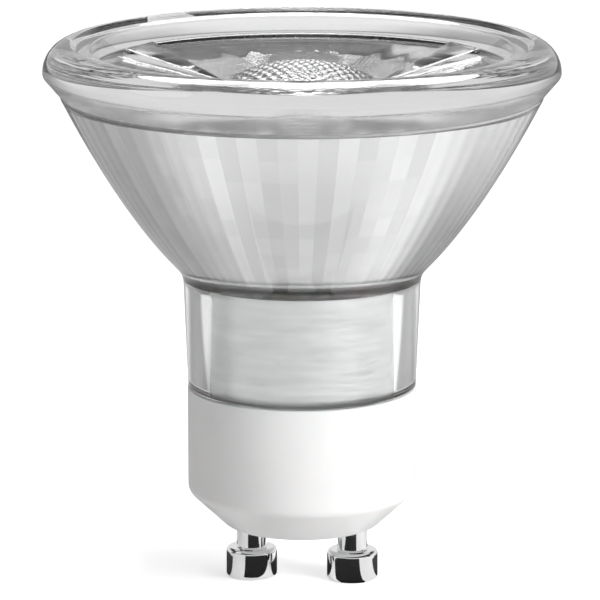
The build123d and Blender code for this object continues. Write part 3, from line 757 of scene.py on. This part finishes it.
# finishes of the CAD pieces that stay: dark colour, light colour, roughness, metal, grain in mm
insideFinishes = {
    "lens_seal_ring": ("greySeal", (0.36, 0.36, 0.36), (0.46, 0.46, 0.46), (0.45, 0.6), 0.0, 0.8),
    "neck_cement": ("paleCement", (0.66, 0.64, 0.6), (0.8, 0.78, 0.74), (0.75, 0.9), 0.0, 0.5),
    "heat_sink_plate": ("turnedPlate", (0.6, 0.6, 0.61), (0.75, 0.75, 0.76), (0.3, 0.45), 1.0, 0.6),
    "thermal_pad": ("greyPad", (0.45, 0.47, 0.5), (0.56, 0.58, 0.61), (0.7, 0.85), 0.0, 0.6),
    "led_board": ("whiteMask", (0.8, 0.8, 0.79), (0.88, 0.88, 0.87), (0.35, 0.5), 0.0, 1.2),
    "led_phosphor": ("phosphor", (0.82, 0.7, 0.34), (0.9, 0.8, 0.45), (0.4, 0.55), 0.0, 0.7),
    "led_dam_ring": ("paleDam", (0.82, 0.82, 0.81), (0.9, 0.9, 0.89), (0.4, 0.55), 0.0, 0.6),
    "led_board_screws": ("platedScrew", (0.5, 0.5, 0.51), (0.65, 0.65, 0.66), (0.22, 0.38), 1.0, 0.5),
    "led_solder_joints": ("solder", (0.55, 0.55, 0.57), (0.72, 0.72, 0.74), (0.2, 0.4), 1.0, 0.3),
    "driver_insulator": ("creamPlastic", (0.78, 0.77, 0.72), (0.86, 0.85, 0.81), (0.4, 0.55), 0.0, 1.5),
    "driver_board": ("greenBoard", (0.03, 0.2, 0.09), (0.06, 0.3, 0.14), (0.35, 0.55), 0.0, 0.9),
    "electrolytic_capacitor": ("navySleeve", (0.04, 0.05, 0.12), (0.07, 0.09, 0.18), (0.2, 0.32), 0.0, 1.5),
    "choke_core": ("ferrite", (0.1, 0.1, 0.11), (0.16, 0.16, 0.17), (0.55, 0.75), 0.0, 0.4),
    "choke_winding": ("copperTurns", (0.5, 0.24, 0.12), (0.75, 0.42, 0.24), (0.2, 0.35), 1.0, 0.4),
    "film_capacitor": ("redCoating", (0.48, 0.13, 0.06), (0.64, 0.21, 0.1), (0.18, 0.32), 0.0, 1.2),
    "fusible_resistor": ("blueGreyCoating", (0.22, 0.36, 0.42), (0.32, 0.47, 0.52), (0.5, 0.65), 0.0, 0.5),
    "bridge_rectifier": ("chipPlastic", (0.03, 0.03, 0.03), (0.06, 0.06, 0.06), (0.5, 0.7), 0.0, 0.3),
    "led_wire_positive": ("redWire", (0.5, 0.04, 0.03), (0.62, 0.07, 0.06), (0.35, 0.5), 0.0, 0.7),
    "led_wire_negative": ("blackWire", (0.03, 0.03, 0.03), (0.06, 0.06, 0.06), (0.35, 0.5), 0.0, 0.7),
}
sharedFinishes = {
    "driver_chip": "bridge_rectifier", "chip_resistors": "bridge_rectifier",
    "input_wire_left": "led_wire_negative", "input_wire_right": "led_wire_positive",
}
insideRelief = (0.08, 0.03)  # strength, and depth in mm
reliefShare = 1 / 3  # the relief's grain beside the colour's


def dressInside():
    made = {}
    for node, (name, dark, light, gloss, metal, size) in insideFinishes.items():
        made[node] = grainedFinish(name, {
            "tint": (dark, light), "tintGrain": (size,), "gloss": gloss, "glossGrain": (size,),
            "relief": insideRelief, "reliefGrain": (size * reliefShare,),
        }, Metallic=metal)
    for node, like in sharedFinishes.items():
        made[node] = made[like]
    for node, finish in made.items():
        recoat(nodes[node].data, finish)
    print("inside dressed,", len(made), "nodes")


dressInside()

# floor, lights and camera; the lamps and the floor's size are in metres, grains and cards in mm
studio = {
    "floorSize": 6.0, "floorTone": 0.93, "floorSwing": 0.01, "floorGrain": 40, "floorGlow": 0.46,
    "bounceGlow": 0.18, "roomTone": 0.05,
    "sweepTone": 0.75, "sweepSide": (-0.05, 0.3), "sweepRise": (0.56, 0.34),
    "frontTone": 0.5, "frontSide": (-0.1, -0.3), "frontRise": (0.4, 0.25),
    "topPower": 2.2, "topSize": (0.3, 0.3), "topPlace": (0.0, 0.25, 0.8),
    "keyPower": 4.6, "keySize": (0.4, 0.4), "keyPlace": (0.53, -0.31, 0.28),
    "lensPower": 7.8, "lensSize": (0.7, 0.5), "lensPlace": (0.0, 0.3, 0.62),
    "leftPower": 0.35, "leftSize": (0.36, 0.36), "leftPlace": (-0.55, -0.22, 0.48),
    "lampAim": (0, 0, 0.03), "allBounces": 24, "clearBounces": 20, "glossyBounces": 12,
    # painted shadow on the floor that the bulb sees, standing in for its own shadow and dark surroundings:
    # how dark, then ramps along X (0) or Y (1) that start and end at these mm
    "paintedShades": (
        (0.5, ((0, -10, -35), (0, -140, -50), (1, -25, 5))),
        (0.6, ((0, -140, -200), (1, -25, 5))),
        (0.7, ((0, -40, -60), (1, 120, 145))),
        (0.7, ((0, 10, 30), (0, 90, 35), (1, -5, 25))),
        (0.7, ((0, 40, 60), (1, 120, 145))),
    ),
    # black cards on the floor that paint a dark reflection into the pins, corner by corner: one before the
    # pins, three beside and between them
    "pinCards": (
        ((-18.8, -27.0), (18.8, -27.0), (6.3, -2.6), (-6.3, -2.6)),
        ((-16.0, -0.4), (-7.4, -0.4), (-7.4, 11.0), (-16.0, 11.0)),
        ((-2.6, -0.4), (2.6, -0.4), (2.6, 11.0), (-2.6, 11.0)),
        ((7.4, -0.4), (16.0, -0.4), (16.0, 11.0), (7.4, 11.0)),
    ),
    "cardTone": 0.01, "cardGrain": 20, "cardLift": 0.1,
}
# distances in mm, the turn in degrees
view = {
    "distance": 400.0, "height": 117.0, "turn": 6.0, "aim": 28.0, "lens": 252.0, "sensor": 36.0,
    "sideShift": -0.0033, "clipStart": 20.0,
}


def plainFinish(name, size, dark, light, **sockets):
    mat, tree, shader = newFinish(name, **sockets)
    tree.links.new(tint(tree, grain(tree, size), (dark,) * 3, (light,) * 3), shader.inputs["Base Color"])
    return mat


def bounceFinish():
    # the floor as the bulb sees it: pale, with painted shadow in its colour and glow
    mat, tree, shader = newFinish(
        "bounceFloor", **{"Roughness": 0.7, "Emission Strength": studio["bounceGlow"]}
    )
    square = tree.nodes.new("ShaderNodeMapping")  # square to the view
    square.inputs["Rotation"].default_value = (0, 0, -math.radians(view["turn"]))
    tree.links.new(tree.nodes.new("ShaderNodeTexCoord").outputs["Object"], square.inputs["Vector"])
    spot = axes(tree, square.outputs[0])
    tone = studio["floorTone"]
    # each row paints a soft shadow into the floor's colour and glow
    for paintedShade, ramps in studio["paintedShades"]:
        for axis, start, end in ramps:
            paintedShade = calc(tree, "MULTIPLY", paintedShade, ramp(tree, spot[axis], start * mm, end * mm))
        tone = calc(tree, "MULTIPLY", tone, calc(tree, "SUBTRACT", 1.0, paintedShade))
    colour = grey(tree, tone)
    tree.links.new(colour, shader.inputs["Base Color"])
    tree.links.new(colour, shader.inputs["Emission Color"])
    return mat


def makeStagePlane(name, corners, height, mat, *hiddenFrom):
    mesh = bpy.data.meshes.new(name)
    mesh.from_pydata([(x, y, height * mm) for x, y in corners], [], [(0, 1, 2, 3)])
    mesh.materials.append(mat)
    plane = newPiece(name, mesh)
    for ray in hiddenFrom:
        setattr(plane, "visible_" + ray, False)


def makeFloor():
    # two planes in one place: the camera sees the plain one, the bulb the other
    half = studio["floorSize"] / 2
    whole = [(-half, -half), (half, -half), (half, half), (-half, half)]
    low, high = studio["floorTone"] - studio["floorSwing"], studio["floorTone"] + studio["floorSwing"]
    glow = {"Emission Color": (1, 1, 1, 1), "Emission Strength": studio["floorGlow"]}
    pale = plainFinish("paleFloor", studio["floorGrain"], low, high, Roughness=0.7, **glow)
    makeStagePlane("paleFloor", whole, 0, pale, "diffuse", "glossy", "transmission", "shadow")
    makeStagePlane("bounceFloor", whole, -studio["cardLift"], bounceFinish(), "camera")
    # black cards that only glossy faces see paint a dark reflection into the pins: their dark stripe and dark
    # edges
    turn = Matrix.Rotation(math.radians(view["turn"]), 2)
    tone = studio["cardTone"]
    black = plainFinish("pinCard", studio["cardGrain"], tone / 2, tone, Roughness=0.9)
    unseen = ("camera", "diffuse", "transmission", "shadow")
    for order, card in enumerate(studio["pinCards"]):
        corners = [turn @ Vector(corner) * mm for corner in card]
        makeStagePlane(f"pinCard{order + 1}", corners, studio["cardLift"], black, *unseen)


def faceTo(thing, aim):
    thing.rotation_euler = (Vector(aim) - thing.location).to_track_quat("-Z", "Y").to_euler()


def softLight(name, place, size, power, *hiddenFrom):
    data = bpy.data.lights.new(name, "AREA")
    data.shape = "ELLIPSE"
    data.size, data.size_y = size
    data.energy = power
    lamp = bpy.data.objects.new(name, data)
    lamp.location = place
    faceTo(lamp, studio["lampAim"])
    for ray in ("camera",) + hiddenFrom:
        setattr(lamp, "visible_" + ray, False)
    bpy.context.scene.collection.objects.link(lamp)


def makeRoom():
    # a bright sweep low down behind the bulb, a dimmer one in front, a dark room above
    world = bpy.data.worlds.new("studio")
    bpy.context.scene.world = world
    world.use_nodes = True
    tree = world.node_tree
    back = tree.nodes["Background"]
    way = axes(tree, tree.nodes.new("ShaderNodeTexCoord").outputs["Generated"])
    tone = studio["roomTone"]
    for band in ("sweep", "front"):
        lit = studio[band + "Tone"]
        for axis, word in ((1, "Side"), (2, "Rise")):
            lit = calc(tree, "MULTIPLY", lit, ramp(tree, way[axis], *studio[band + word]))
        tone = calc(tree, "ADD", tone, lit)
    tree.links.new(tone, back.inputs["Strength"])
    back.inputs["Color"].default_value = (1, 1, 1, 1)


def makeLights():
    # the key leaves no mirror image; the lens box is seen by glossy faces alone
    for name, *hiddenFrom in (
        ("top",), ("left",), ("key", "glossy", "transmission"), ("lens", "diffuse", "transmission"),
    ):
        place, size, power = (studio[name + word] for word in ("Place", "Size", "Power"))
        softLight(name + "Box", place, size, power, *hiddenFrom)
    cycles = bpy.context.scene.cycles
    cycles.max_bounces = studio["allBounces"]
    cycles.transmission_bounces = studio["clearBounces"]
    cycles.glossy_bounces = studio["glossyBounces"]


def makeCamera():
    data = bpy.data.cameras.new("view")
    data.lens = view["lens"]
    data.sensor_width = view["sensor"]
    data.shift_x = view["sideShift"]
    data.clip_start = view["clipStart"] * mm
    camera = bpy.data.objects.new("view", data)
    turn, away = math.radians(view["turn"]), view["distance"]
    camera.location = Vector((math.sin(turn) * away, -math.cos(turn) * away, view["height"])) * mm
    faceTo(camera, Vector((0, 0, view["aim"])) * mm)
    bpy.context.scene.collection.objects.link(camera)
    bpy.context.scene.camera = camera
    bpy.context.scene.view_settings.view_transform = "Standard"


makeFloor()
makeRoom()
makeLights()
makeCamera()
print("studio made,", len(studio["pinCards"]), "cards")
